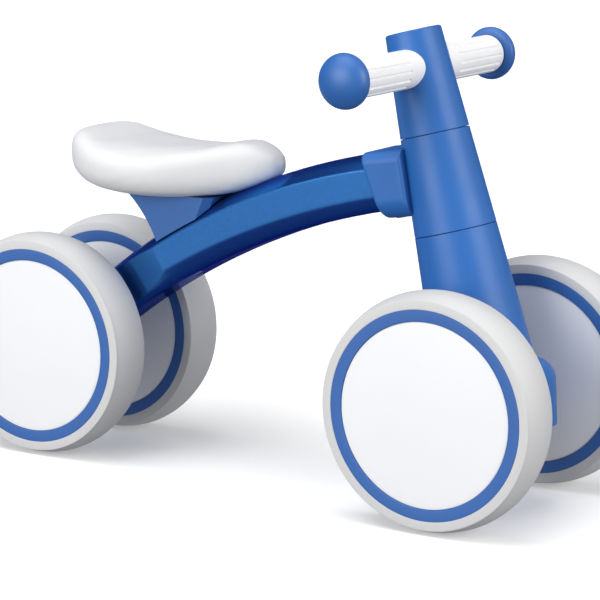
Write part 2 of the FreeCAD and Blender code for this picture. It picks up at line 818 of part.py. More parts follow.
def rim_edges(shape, normal):
    """Numbers of the edges round the flat face that looks along normal."""
    faces = [face for face in shape.Faces if (face.normalAt(0, 0) - normal).Length < 0.01]
    rim = [edge.hashCode() for edge in faces[0].Edges]
    return [number for number, edge in enumerate(shape.Edges, 1) if edge.hashCode() in rim]


def make_socket_screws():
    """Two countersunk screws up through the socket into the tube."""
    place = round_arch(size.screw_angle)
    start = size.screw_start
    outline = [
        (0, start),
        (size.screw_head, start),
        (size.screw_shank, start + size.screw_cone),
        (size.screw_shank, start + size.screw_length),
        (0, start + size.screw_length),
    ]
    screw = turned("socket_screw", outline, place * at(0, size.screw_half, 0))
    return keep("socket_screws", both_sides("socket_screws", screw))


def make_stop_pin(high):
    """A pin in the head's top plate; the slot above it ends the steering."""
    place = on_column(high - size.stop_pin_sink) * at(-size.stop_circle, 0, 0)
    return keep("stop_pin",
                cylinder("stop_pin", size.stop_pin_radius, size.stop_pin_length, place))


def make_fork():
    """The lower section: a cone that ends in a round foot with the front axle through it."""
    high = size.lower_seam - size.seam_gap / 2
    wall = size.column_wall
    ceiling = high - size.plate_wall
    bottom = size.foot_bottom
    neck = size.foot_neck
    shell = turned("fork_outer", [
        (0, -bottom),
        (size.foot_low_radius, -bottom),
        (size.foot_radius, -size.foot_widest),
        (column_radius(neck), neck, size.foot_round, 1),
        (column_radius(high), high),
        (0, high),
    ], COLUMN)
    cap_top = size.base_cap_wall - bottom
    cavity = turned("fork_cavity", [
        (0, -bottom),
        (size.base_cap_radius, -bottom),
        (size.base_cap_radius, cap_top),
        (column_radius(neck) - wall, neck),
        (column_radius(ceiling) - wall, ceiling),
        (size.steerer_radius, ceiling),
        (size.steerer_radius, high),
        (0, high),
    ], COLUMN)
    sides = []
    for side in (1, -1):
        middle = float(size.foot_flat) * side + CUTTER / 2 * side
        corner = COLUMN * at(-CUTTER / 2, middle - CUTTER / 2, -CUTTER / 2)
        sides.append(box(f"foot_side_{side}", CUTTER, CUTTER, CUTTER, corner))
    blank = without("fork_hollow", shell, grouped("fork_waste", [cavity] + sides))
    sleeve = cylinder("axle_sleeve", size.axle_sleeve, 2 * size.foot_flat,
                      along_y(FRONT_X, -size.foot_flat, size.wheel_radius))
    body = joined("fork_body", [blank, sleeve])
    bore = cylinder("fork_bore", size.axle_radius, 2 * size.foot_flat,
                    along_y(FRONT_X, -size.foot_flat, size.wheel_radius))
    keep("fork_shell", without("fork_shell", body, bore))
    keep("fork_base_cap", turned("fork_base_cap", [
        (0, -bottom),
        (size.base_cap_radius, -bottom),
        (size.base_cap_radius, cap_top),
        (0, cap_top),
    ], COLUMN))


def make_steerer():
    """The shaft that ties fork and upper column together through the head's bushes."""
    ceiling = size.lower_seam - size.seam_gap / 2 - size.plate_wall
    under = ceiling - size.steerer_flange_wall
    floor = size.upper_seam + size.seam_gap / 2 + size.plate_wall
    keep("steerer", turned("steerer", [
        (size.steerer_bore, under),
        (size.steerer_flange, under),
        (size.steerer_flange, ceiling),
        (size.steerer_radius, ceiling),
        (size.steerer_radius, size.steerer_top),
        (size.steerer_bore, size.steerer_top),
    ], COLUMN))
    washer_top = floor + size.steerer_washer_wall
    keep("steerer_washer", turned("steerer_washer", [
        (size.steerer_radius, floor),
        (size.head_flange_radius, floor),
        (size.head_flange_radius, washer_top),
        (size.steerer_radius, washer_top),
    ], COLUMN))
    nut = hex_nut("steerer_nut", size.steerer_nut_corner, size.steerer_nut_height,
                  size.steerer_radius, on_column(washer_top))
    keep("steerer_nut", nut)


# ---------------------------------------------------------------- handlebar


def make_handlebar():
    place = on_column(size.bar_height)
    inner = size.bar_radius - size.bar_wall
    half = size.grip_end
    screw = make_clamp_screw()
    tube = turned("bar_tube", [
        (inner, -half),
        (size.bar_radius, -half),
        (size.bar_radius, half),
        (inner, half),
    ], place * along_y(0, 0, 0))
    keep("handlebar_tube", without("handlebar_tube", tube, screw))
    for hand, side in (("left", 1), ("right", -1)):
        outward = place * along_y(0, 0, 0, side)
        make_grip("grip_" + hand, outward)
        keep("knob_" + hand, turned("knob_" + hand, knob_outline(), outward))


def make_clamp_screw():
    """A screw from the boss's top into the tube, under the column's cap."""
    seat = size.bar_boss
    tip = size.bar_radius - size.bar_wall
    head = seat + size.clamp_head_wall
    return keep("bar_clamp_screw", turned("bar_clamp_screw", [
        (0, tip),
        (size.clamp_shank, tip),
        (size.clamp_shank, seat),
        (size.clamp_head, seat),
        (size.clamp_head, head),
        (0, head),
    ], on_column(size.bar_height)))


def make_grip(name, place):
    """A grip with long grooves, shaped to the column's cone at its inner end."""
    body = turned(name + "_sleeve", [
        (size.bar_radius, size.grip_start),
        (size.grip_radius, size.grip_start),
        (size.grip_radius, size.grip_end),
        (size.bar_radius, size.grip_end),
    ], place)
    sketch = sketch_on(body, "XZ_Plane", name + "_flute")
    floor = size.grip_radius - size.flute_depth
    outside = size.grip_radius + OVERCUT
    draw_outline(sketch, [
        (floor, size.flute_start + size.flute_slope),
        (outside, size.flute_start),
        (outside, size.flute_finish),
        (floor, size.flute_finish - size.flute_slope),
    ])
    groove = body.newObject("PartDesign::Pocket", name + "_groove")
    groove.Profile = sketch
    groove.SideType = "Symmetric"
    bind(groove, Length=size.flute_width)
    pattern = body.newObject("PartDesign::PolarPattern", name + "_grooves")
    pattern.Originals = [groove]
    pattern.Axis = (sketch, ["V_Axis"])
    bind(pattern, Occurrences=int(float(size.flute_count)))
    body.Tip = pattern
    cone = cone_solid(name + "_cone", size.upper_seam, size.column_top + OVERCUT)
    keep(name, without(name, body, cone))


def knob_outline():
    """A shallow dome on a straight rim, with a spigot that plugs the tube."""
    radius = size.knob_radius
    rim = size.knob_back + size.knob_rim
    dome = arc_radius(radius, size.knob_end - rim)
    spigot = size.bar_radius - size.bar_wall
    round_off = size.knob_round
    return [
        (0, size.grip_end - size.knob_spigot),
        (spigot, size.grip_end - size.knob_spigot),
        (spigot, size.knob_back - size.knob_step),
        (radius - round_off - size.knob_dish, size.knob_back),
        (radius - round_off, size.knob_back),
        (radius, size.knob_back + round_off, round_off, 1),
        (radius, rim),
        (0, size.knob_end, dome, 1),
    ]


# ---------------------------------------------------------------- tube and rear axle


def tube_section(name, inset):
    """The arched tube as a full solid, this far inside its outer skin.

    Its crown and its rounded underside follow two different arcs, so it slims to the rear.
    """
    half = size.tube_half - inset
    edge = size.arch_radius - size.tube_crown - inset / 2
    crown = arc_radius(half, size.arch_radius - inset - edge)
    bottom = size.under_radius + inset
    corner = size.tube_round - inset
    upper = turned(name + "_upper", [
        (half, size.access_start),
        (half, edge),
        (-half, edge, crown, 1),
        (-half, size.access_start),
    ], round_arch(size.tube_rear_angle), "YZ_Plane", "H_Axis",
        size.tube_rear_angle - size.tube_front_angle)
    under_place = at(size.under_x, 0, size.under_z,
                     Rotation(Y_AXIS, -float(size.under_rear_angle)))
    lower = turned(name + "_lower", [
        (half - corner, bottom),
        (half, bottom + corner, corner, 1),
        (half, bottom + 2 * size.tube_half),
        (-half, bottom + 2 * size.tube_half),
        (-half, bottom + corner),
        (corner - half, bottom, corner, 1),
    ], under_place, "YZ_Plane", "H_Axis", size.under_rear_angle - size.under_front_angle)
    body = doc.addObject("Part::Common", name + "_arch")
    body.Base = upper
    body.Tool = lower
    fold = round_arch(size.fold_angle)
    wastes = []
    for side in (1, -1):
        turn = Rotation(Z_AXIS, float(size.fold_taper) * side)
        edge_place = fold * at(0, float(half) * side, size.arch_radius, turn)
        middle = CUTTER / 2 * side
        wastes.append(box(f"{name}_side_{side}", CUTTER, CUTTER, CUTTER,
                          edge_place * at(-CUTTER, middle - CUTTER / 2, -CUTTER / 2)))
    return without(name, body, grouped(name + "_sides", wastes))


def make_main_tube(solid, bolts):
    """The tube itself: hollow, cross-drilled for the axle tube, bolts and screws."""
    hollow = tube_section("tube_hollow", size.tube_wall)
    cross = cylinder("cross_hole", size.rear_tube_radius, 2 * size.rear_tube_half,
                     along_y(REAR_X, -size.rear_tube_half, size.wheel_radius))
    tools = grouped("main_tube_tools",
                    [hollow, cross, bolts, parts["socket_screws"]] + access_holes())
    keep("main_tube", without("main_tube", solid, tools))
    zone_place = round_arch(size.tube_rear_angle) * at(
        -size.plug_depth, -CUTTER / 2, size.arch_radius - CUTTER / 2)
    plug_zone = box("plug_zone", 2 * size.plug_depth, CUTTER, CUTTER, zone_place)
    plug = doc.addObject("Part::Common", "plug_blank")
    plug.Base = hollow
    plug.Tool = plug_zone
    keep("tube_plug", without("tube_plug", plug, cross))
    keep("rear_axle_tube", turned("rear_axle_tube", [
        (size.axle_radius, -size.rear_tube_half),
        (size.rear_tube_radius, -size.rear_tube_half),
        (size.rear_tube_radius, size.rear_tube_half),
        (size.axle_radius, size.rear_tube_half),
    ], along_y(REAR_X, 0, size.wheel_radius)))


# ---------------------------------------------------------------- seat


def make_seat_bolts():
    """Two bolts square to the tube, from inside its crown up into the seat plate."""
    under = size.arch_radius - size.tube_wall - size.seat_bolt_drop
    head_top = under - size.washer_wall
    head_low = head_top - size.seat_bolt_head_wall
    radius = size.seat_bolt_radius
    bolts = []
    washers = []
    for name, angle, tip in (("rear", size.seat_bolt_rear, size.seat_bolt_rear_tip),
                             ("front", size.seat_bolt_front, size.seat_bolt_front_tip)):
        place = round_arch(angle)
        bolts.append(turned(f"seat_bolt_{name}", [
            (0, head_low),
            (size.seat_bolt_head, head_low),
            (size.seat_bolt_head, head_top),
            (radius, head_top),
            (radius, tip),
            (0, tip),
        ], place))
        washers.append(turned(f"seat_washer_{name}", [
            (radius, head_top),
            (size.seat_washer_radius, head_top),
            (size.seat_washer_radius, under),
            (radius, under),
        ], place))
    keep("seat_washers", grouped("seat_washers", washers))
    return keep("seat_bolts", grouped("seat_bolts", bolts))


def access_holes():
    """Holes in the tube's underside, one below each seat bolt."""
    return [cylinder(f"access_hole_{name}", size.access_radius, size.access_length,
                     round_arch(angle) * at(0, 0, size.access_start))
            for name, angle in (("rear", size.seat_bolt_rear), ("front", size.seat_bolt_front))]


def make_seat_post(bolts):
    """The wedge between tube and saddle: hollow from below, its foot cut to the tube."""
    half = size.post_half
    wall = size.post_wall
    low = size.post_low
    top = size.post_top
    outline = [
        (size.post_rear_low, low),
        (size.post_front_low, low),
        (size.post_front_low, low + size.post_knee),
        (size.post_front_top, top),
        (size.post_rear_top, top),
        (size.post_rear_low, low + size.post_heel, size.post_curve, -1),
    ]
    block = extruded("post_block", "XZ_Plane", outline, 2 * half)
    doc.recompute()
    edges = [number for number, edge in enumerate(block.Shape.Edges, 1)
             if is_front_corner(edge)]
    bevel = doc.addObject("Part::Chamfer", "post_bevel")
    bevel.Base = block
    width = float(size.post_chamfer)
    bevel.Edges = [(number, width, width) for number in edges]
    hollow = extruded("post_hollow", "XZ_Plane", [
        (size.post_rear_low + wall, low),
        (size.post_front_low - wall, low),
        (size.post_front_low - wall, low + size.post_knee),
        (size.post_front_top - 2 * wall, top - wall),
        (size.post_rear_top + 3 * wall, top - wall),
        (size.post_rear_low + wall, low + size.post_heel),
    ], 2 * (half - wall))
    seam = tube_section("post_seam", -size.post_gap)
    tools = grouped("post_tools", [hollow, seam, bolts])
    keep("seat_post", without("seat_post", bevel, tools))


def is_front_corner(edge):
    """True for the upright edges at the post's two front corners."""
    box_of = edge.BoundBox
    upright = box_of.ZLength > 5 and box_of.YLength < 0.1
    return upright and box_of.XMin > float(size.post_front_low) - 1


def make_seat(solid, bolts):
    """The seat plate, and the cushion as a plain smooth form around it."""
    middle = (size.plate_front + size.plate_rear) / 2
    plate = extruded("plate_block", "XY_Plane", [
        (size.plate_front, -size.plate_half / 2),
        (size.plate_front, size.plate_half / 2),
        (middle, size.plate_half),
        (size.plate_rear, size.plate_half),
        (size.plate_rear, -size.plate_half),
        (middle, -size.plate_half),
    ], size.plate_height, at(0, 0, size.post_top + size.plate_height / 2))
    keep("seat_plate", without("seat_plate", plate, bolts))
    rings = []
    for number in range(1, len(SEAT_SECTIONS) + 1):
        place, half, low, top = (getattr(size, f"seat_{part}_{number}")
                                 for part in ("place", "half", "low", "top"))
        ring = doc.addObject("Part::Ellipse", f"seat_ring_{number}")
        bind(ring, MajorRadius=half, MinorRadius=(top - low) / 2)
        ring.Placement = at(place, 0, (low + top) / 2, Rotation(Vector(1, 1, 1), 120))
        rings.append(ring)
    form = doc.addObject("Part::Loft", "seat_form")
    form.Sections = rings
    form.Solid = True
    tools = grouped("seat_tools", [plate, parts["seat_post"], bolts, solid])
    keep("seat_cushion", without("seat_cushion", form, tools))


# ---------------------------------------------------------------- assembly and export


def make_bike():
    make_wheels()
    make_axle("front", FRONT_X, size.front_track, size.foot_flat)
    make_axle("rear", REAR_X, size.rear_track, size.rear_tube_half)
    solid = tube_section("tube_solid", Size(0.0, "0"))
    make_head_shell(solid)
    make_column_upper()
    make_fork()
    make_steerer()
    make_handlebar()
    bolts = make_seat_bolts()
    make_main_tube(solid, bolts)
    make_seat_post(bolts)
    make_seat(solid, bolts)


def check_and_export():
    doc.recompute()
    broken = [item.Label for item in doc.Objects if {"Invalid", "Error"} & set(item.State)]
    for node, made in parts.items():
        if made.Shape.isNull() or not made.Shape.isValid() or not made.Shape.Solids:
            broken.append(node)
    if broken:
        raise RuntimeError("these did not build: " + ", ".join(broken))
    os.makedirs("parts", exist_ok=True)
    for node, made in parts.items():
        made.Shape.exportStep(f"parts/{node}.step")
        print(f"{node:28s} solids {len(made.Shape.Solids)}  cm3 {made.Shape.Volume / 1000:8.2f}")


make_bike()
check_and_export()
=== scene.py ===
import json
import math

import bmesh
import bpy
import numpy as np
from mathutils import Matrix, Vector


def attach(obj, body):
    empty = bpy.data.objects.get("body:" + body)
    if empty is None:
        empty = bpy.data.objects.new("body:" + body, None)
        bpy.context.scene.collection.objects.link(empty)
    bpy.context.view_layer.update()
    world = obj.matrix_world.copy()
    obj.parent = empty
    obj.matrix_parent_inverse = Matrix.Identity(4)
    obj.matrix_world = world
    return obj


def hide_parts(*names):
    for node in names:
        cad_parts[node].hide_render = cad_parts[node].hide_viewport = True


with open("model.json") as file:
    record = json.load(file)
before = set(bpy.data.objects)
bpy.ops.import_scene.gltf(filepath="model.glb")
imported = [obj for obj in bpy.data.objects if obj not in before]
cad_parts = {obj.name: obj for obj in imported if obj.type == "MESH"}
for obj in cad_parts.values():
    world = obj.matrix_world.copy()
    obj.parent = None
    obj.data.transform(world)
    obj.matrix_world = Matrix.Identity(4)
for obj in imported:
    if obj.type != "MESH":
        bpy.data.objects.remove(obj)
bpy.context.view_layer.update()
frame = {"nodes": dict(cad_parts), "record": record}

# The looks of a four-wheel balance bike: soft and turned pieces are rebuilt here in mesh code,
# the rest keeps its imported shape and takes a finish. Metres, +X forward, +Y left, +Z up.
# Pieces are outlined in millimetres, like the CAD.

MM = 0.001
TRACKS = {"front": 148.6, "rear": 92.7}
BAR_HEIGHT = 221.5


def turn_to(axis):
    """Turns Z to this axis."""
    return Vector((0, 0, 1)).rotation_difference(Vector(axis)).to_matrix().to_4x4()


# The steering column stands on the front axle's middle, and the handlebar crosses it.
JOINTS = {joint["name"]: joint for joint in frame["record"]["behaviour"]["joints"]}
STEERING = JOINTS["steering"]
COLUMN = Matrix.Translation(STEERING["pos_m"]) @ turn_to(STEERING["axis"])
BAR = COLUMN @ Matrix.Translation((0, 0, BAR_HEIGHT * MM))

# Noise textures lie mostly between these values.
NOISE_LOW = 0.3
NOISE_HIGH = 0.7


# ---------------------------------------------------------------- materials


class Look:
    """Builds one procedural material: drifting tint and roughness, and a fine surface."""

    def __init__(self, name):
        self.material = bpy.data.materials.new(name)
        self.material.use_nodes = True
        self.tree = self.material.node_tree
        self.shader = self.tree.nodes["Principled BSDF"]
        self.place = self.add("ShaderNodeTexCoord").outputs["Object"]

    def add(self, kind, **inputs):
        node = self.tree.nodes.new(kind)
        for name, value in inputs.items():
            self.put(node.inputs[name.replace("_", " ")], value)
        return node

    def put(self, socket, value):
        if isinstance(value, bpy.types.NodeSocket):
            self.tree.links.new(value, socket)
        else:
            socket.default_value = value

    def noise(self, scale, detail=3.0, stretch=None):
        place = self.place
        if stretch is not None:
            mapping = self.add("ShaderNodeMapping", Scale=stretch)
            self.put(mapping.inputs["Vector"], place)
            place = mapping.outputs["Vector"]
        node = self.add("ShaderNodeTexNoise", Vector=place, Scale=scale, Detail=detail)
        return node.outputs["Fac"]

    def spread(self, value, low, high):
        """The value's usual range, stretched to run from low to high."""
        node = self.add("ShaderNodeMapRange", Value=value)
        self.put(node.inputs["From Min"], NOISE_LOW)
        self.put(node.inputs["From Max"], NOISE_HIGH)
        self.put(node.inputs["To Min"], low)
        self.put(node.inputs["To Max"], high)
        return node.outputs["Result"]

    def colours(self, value, first, last):
        """The value's usual range, turned into a fade between two colours."""
        node = self.add("ShaderNodeValToRGB", Fac=value)
        low, high = node.color_ramp.elements
        low.position, high.position = NOISE_LOW, NOISE_HIGH
        low.color, high.color = (*first, 1), (*last, 1)
        return node.outputs["Color"]

    def relief(self, height, depth, edge):
        """A bump this deep, over edges rounded by this much."""
        rounded = self.add("ShaderNodeBevel", Radius=edge)
        rounded.samples = 6
        node = self.add("ShaderNodeBump", Height=height, Strength=1.0, Distance=depth)
        self.put(node.inputs["Normal"], rounded.outputs["Normal"])
        return node.outputs["Normal"]

    def finish(self, **inputs):
        for name, value in inputs.items():
            self.put(self.shader.inputs[name.replace("_", " ")], value)
        return self.material


def shade(colour, by):
    return tuple(min(1.0, channel * by) for channel in colour)


def moulded(name, colour, rough, grain, depth, drift=0.03, edge=0.0006, coat=0.0, specular=0.5):
    """Moulded plastic or rubber: faint flow marks in the tint, and a fine grain."""
    look = Look(name)
    flow = look.noise(14.0, 2.0)
    fine = look.noise(grain, 2.0)
    return look.finish(
        Base_Color=look.colours(flow, shade(colour, 1 - drift), shade(colour, 1 + drift)),
        Roughness=look.spread(look.noise(55.0), rough * 0.9, rough * 1.1),
        Normal=look.relief(fine, depth, edge),
        Coat_Weight=coat, Coat_Roughness=0.12, Specular_IOR_Level=specular)


def flake_paint(name, colour):
    """Metallic lacquer: small flakes of slightly different blue."""
    look = Look(name)
    cells = look.add("ShaderNodeTexVoronoi", Vector=look.place, Scale=2600.0)
    flakes = look.add("ShaderNodeSeparateColor", Color=cells.outputs["Color"])
    flow = look.noise(9.0, 2.0)
    height = look.add("ShaderNodeTexNoise", Vector=look.place, Scale=240.0)
    tint = look.colours(flakes.outputs["Red"], shade(colour, 0.9), shade(colour, 1.12))
    return look.finish(
        Base_Color=tint, Metallic=0.88,
        Roughness=look.spread(flow, 0.15, 0.21),
        Specular_Tint=(0.06, 0.16, 0.60, 1.0),
        Normal=look.relief(height.outputs["Fac"], 0.000003, 0.0022))


def leather_skin(name, colour):
    """Smooth foam skin with a faint pebble."""
    look = Look(name)
    pebble = look.add("ShaderNodeTexVoronoi", Vector=look.place, Scale=900.0)
    pebble.feature = "SMOOTH_F1"
    flow = look.noise(18.0, 2.0)
    return look.finish(
        Base_Color=look.colours(flow, shade(colour, 0.985), shade(colour, 1.01)),
        Roughness=look.spread(look.noise(70.0), 0.44, 0.52),
        Normal=look.relief(pebble.outputs["Distance"], 0.00004, 0.0005),
        Specular_IOR_Level=0.4, Subsurface_Weight=0.05, Subsurface_Scale=0.004)


def plated(name, colour):
    """Zinc-plated steel with turning marks and a cloudy shine."""
    look = Look(name)
    cloud = look.noise(120.0, 4.0)
    marks = look.noise(300.0, 2.0, (1.0, 9.0, 1.0))
    return look.finish(
        Base_Color=look.colours(cloud, shade(colour, 0.88), shade(colour, 1.08)),
        Metallic=1.0, Roughness=look.spread(cloud, 0.28, 0.42),
        Normal=look.relief(marks, 0.00002, 0.0003))


# The look of each material slot in the record.
finishes = {
    "tyre": moulded(
        "foam_tyre", (0.60, 0.60, 0.605), rough=0.62, grain=1400.0, depth=0.00006,
        drift=0.015, edge=0.0003),
    "core_plastic": moulded(
        "core_plastic", (0.72, 0.73, 0.75), rough=0.5, grain=700.0, depth=0.00003),
    "disc_plastic": moulded(
        "disc_plastic", (0.82, 0.83, 0.85), rough=0.35, grain=500.0, depth=0.00001,
        drift=0.008, edge=0.0004, coat=0.25),
    "ring_plastic": moulded(
        "ring_plastic", (0.034, 0.122, 0.38), rough=0.42, grain=600.0, depth=0.00001,
        drift=0.04, edge=0.0003, specular=0.4),
    "nylon": moulded(
        "nylon", (0.10, 0.10, 0.11), rough=0.45, grain=500.0, depth=0.00002),
    "tube_paint": flake_paint("tube_paint", (0.040, 0.170, 0.46)),
    "column_plastic": moulded(
        "column_plastic", (0.020, 0.125, 0.41), rough=0.42, grain=800.0, depth=0.00002,
        drift=0.05, edge=0.0004, specular=0.4),
    "post_plastic": moulded(
        "post_plastic", (0.030, 0.120, 0.36), rough=0.45, grain=800.0, depth=0.00002,
        drift=0.05, edge=0.0004, specular=0.4),
    "seat_skin": leather_skin("seat_skin", (0.69, 0.695, 0.705)),
    "grip_rubber": moulded(
        "grip_rubber", (0.90, 0.90, 0.91), rough=0.48, grain=1100.0, depth=0.00003,
        drift=0.015, edge=0.0002),
    "knob_plastic": moulded(
        "knob_plastic", (0.022, 0.120, 0.39), rough=0.42, grain=600.0, depth=0.00001,
        drift=0.04, edge=0.0004),
    "steel": plated("plated_steel", (0.56, 0.565, 0.58)),
}


def paint(piece, slot):
    piece.data.materials.clear()
    piece.data.materials.append(finishes[slot])


# ---------------------------------------------------------------- mesh building

SMOOTH_DEGREES = 32.0
SAME_PLACE = 1e-6


def add_object(name, data):
    made = bpy.data.objects.new(name, data)
    bpy.context.scene.collection.objects.link(made)
    return made


def new_mesh(name, points, faces, matrix=Matrix.Identity(4)):
    """A smooth mesh object from points in millimetres, placed by matrix."""
    mesh = bpy.data.meshes.new(name)
    mesh.from_pydata([matrix @ (Vector(p) * MM) for p in points], [], faces)
    made = add_object(name, mesh)
    tidy = bmesh.new()
    tidy.from_mesh(mesh)
    bmesh.ops.remove_doubles(tidy, verts=tidy.verts, dist=SAME_PLACE)
    bmesh.ops.recalc_face_normals(tidy, faces=tidy.faces)
    tidy.to_mesh(mesh)
    tidy.free()
    smooth_below(mesh, SMOOTH_DEGREES)
    return made


def smooth_below(mesh, degrees):
    """Smooth shading, apart from edges that turn by more than this."""
    for face in mesh.polygons:
        face.use_smooth = True
    mesh.set_sharp_from_angle(angle=math.radians(degrees))


def ring_faces(rings, around, closed_along=False):
    """Quads between neighbouring rings of points."""
    faces = []
    last = rings if closed_along else rings - 1
    for ring in range(last):
        start = ring * around
        following = ((ring + 1) % rings) * around
        for step in range(around):
            turn = (step + 1) % around
            faces.append((start + step, start + turn, following + turn, following + step))
    return faces


def rounded(corners):
    """A profile with its corners rounded. A corner is (r, h, rounding) or (r, h)."""
    steps = 6
    made = []
    for index, corner in enumerate(corners):
        here = Vector(corner[:2])
        if len(corner) == 2:
            made.append(tuple(here))
            continue
        size = corner[2]
        before = (Vector(corners[index - 1][:2]) - here).normalized()
        after = (Vector(corners[index + 1][:2]) - here).normalized()
        start, end = here + before * size, here + after * size
        for step in range(steps + 1):
            t = step / steps
            made.append(tuple(start * (1 - t) ** 2 + here * (2 * t * (1 - t)) + end * t**2))
    return made


def lathe(name, profile, matrix, around=128, closed=True):
    """Turns a profile of (radius, height) about the matrix's own Z. A closed one is a loop."""
    points = []
    for radius, height in profile:
        for step in range(around):
            angle = 2 * math.pi * step / around
            points.append((radius * math.cos(angle), radius * math.sin(angle), height))
    faces = ring_faces(len(profile), around, closed)
    return new_mesh(name, points, faces, matrix)


# ---------------------------------------------------------------- wheels

# Radii, and heights from the wheel's middle plane along its axle.
TYRE_RADIUS = 80.0
TYRE_HALF = 17.0
TYRE_SEAT = 66.2  # where the tyre meets its core
SHOULDER_RADIUS = 76.5
TREAD_INSET = 1.2  # from the tyre's face to the edge of its tread
RING_OUTER = 70.0
RING_INNER = 62.1
RING_ROUND = 0.35
RING_BITE = 0.05  # how far a trim ring sits in the tyre
BORE_CHAMFER = 0.3
RIM_HALF = 13.0
DISC_EDGE = 61.95
DISC_SKIRT = 59.5
DISC_UNDER = 14.0
DISC_FACE = 16.4
DISC_CROWN = 1.6
HUB_HOLE = 13.0
WHEEL_STEPS = 160


def tyre_profile():
    """Flat faces, a crisp shoulder and a gently crowned tread."""
    crown = TYRE_RADIUS - SHOULDER_RADIUS
    edge = TYRE_HALF - TREAD_INSET
    bore = RING_OUTER - RING_BITE
    face = [(TYRE_SEAT, -RIM_HALF), (bore, -RIM_HALF), (bore, BORE_CHAMFER - TYRE_HALF),
            (bore + BORE_CHAMFER, -TYRE_HALF)]
    shoulder = [(SHOULDER_RADIUS - inset, lift - TYRE_HALF)
                for inset, lift in ((1.0, 0.0), (0.35, 0.15), (0.05, 0.55))]
    half = face + shoulder
    tread = [(SHOULDER_RADIUS + crown * (1 - (float(h) / edge) ** 2), float(h))
             for h in np.linspace(-edge, edge, 25)]
    other = [(radius, -height) for radius, height in reversed(half)]
    return half + tread + other


def disc_profile(hole):
    """A softly domed disc with a rounded edge, over a short skirt."""
    crown = [(float(r), DISC_FACE + DISC_CROWN * (1 - (float(r) / DISC_EDGE) ** 2))
             for r in np.linspace(hole, DISC_EDGE - 0.7, 26)]
    edge = [(DISC_EDGE - 0.25, DISC_FACE - 0.05), (DISC_EDGE, DISC_FACE - 0.4)]
    skirt = [(DISC_EDGE, RIM_HALF), (DISC_SKIRT, RIM_HALF), (DISC_SKIRT, DISC_UNDER)]
    return crown + edge + skirt + [(hole, DISC_UNDER)]


def ring_profile(side):
    """A trim ring on one face of the wheel, flush with the tyre."""
    flat = rounded([(RING_INNER, RIM_HALF), (RING_INNER, TYRE_HALF, RING_ROUND),
                    (RING_OUTER, TYRE_HALF, RING_ROUND), (RING_OUTER, RIM_HALF)])
    return [(radius, height * side) for radius, height in flat]


def make_wheel(end, hand):
    """A tyre, two discs and two trim rings, turned about the axle."""
    side = 1 if hand == "left" else -1
    middle = Vector(JOINTS[f"{end}_{hand}_spin"]["pos_m"])
    middle.y = TRACKS[end] / 2 * side * MM
    outward = Matrix.Translation(middle) @ turn_to((0, side, 0))
    inward = Matrix.Translation(middle) @ turn_to((0, -side, 0))
    body = f"{end}_{hand}_wheel"
    wheel = f"wheel_{end}_{hand}"
    pieces = [
        ("tyre", tyre_profile(), outward, "tyre"),
        ("outer_disc", disc_profile(0.0), outward, "disc_plastic"),
        ("inner_disc", disc_profile(HUB_HOLE), inward, "disc_plastic"),
    ]
    for part, profile, placed, slot in pieces:
        made = lathe(f"{wheel}_{part}_skin", profile, placed, WHEEL_STEPS)
        paint(made, slot)
        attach(made, body)
        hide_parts(f"{wheel}_{part}")
    for number, ring_side in enumerate((1, -1), 1):
        made = lathe(f"{wheel}_ring_{number}_skin", ring_profile(ring_side), outward,
                     WHEEL_STEPS)
        paint(made, "ring_plastic")
        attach(made, body)
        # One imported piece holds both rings.
        if number == 1:
            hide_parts(f"{wheel}_rings")


# ---------------------------------------------------------------- handlebar

# Radii, and places from the handlebar's middle along it.
CONE_BASE = 35.24  # the column's radius, extended down to the front axle
CONE_TAPER = 0.0662  # its loss of radius per millimetre up the column
GRIP_RADIUS = 13.0
GRIP_END = 94.0
GRIP_TUCK = 0.6  # how far a grip's inner end runs into the column
GRIP_STEPS = 360
FLUTES = 14
FLUTE_START = 34.0
FLUTE_END = 89.0
FLUTE_HALF = 1.1
FLUTE_DEPTH = 1.3
KNOB_RADIUS = 18.3
KNOB_BACK = 95.0
KNOB_RIM = 98.2
KNOB_END = 110.0
SPIGOT_RADIUS = 9.0
SPIGOT_LENGTH = 1.5


def column_radius(height):
    """The column's cone, at this height above the front axle along its own axis."""
    return CONE_BASE - CONE_TAPER * height


def flute(angle, along):
    """Depth of the grooves here, with rounded ends and a rounded floor."""
    pitch = 2 * math.pi / FLUTES
    across = abs((angle + pitch / 2) % pitch - pitch / 2) * GRIP_RADIUS
    past = max(FLUTE_START - along, along - FLUTE_END, 0.0)
    away = math.hypot(across, past) / FLUTE_HALF
    return FLUTE_DEPTH * math.sqrt(1 - away**2) if away < 1 else 0.0


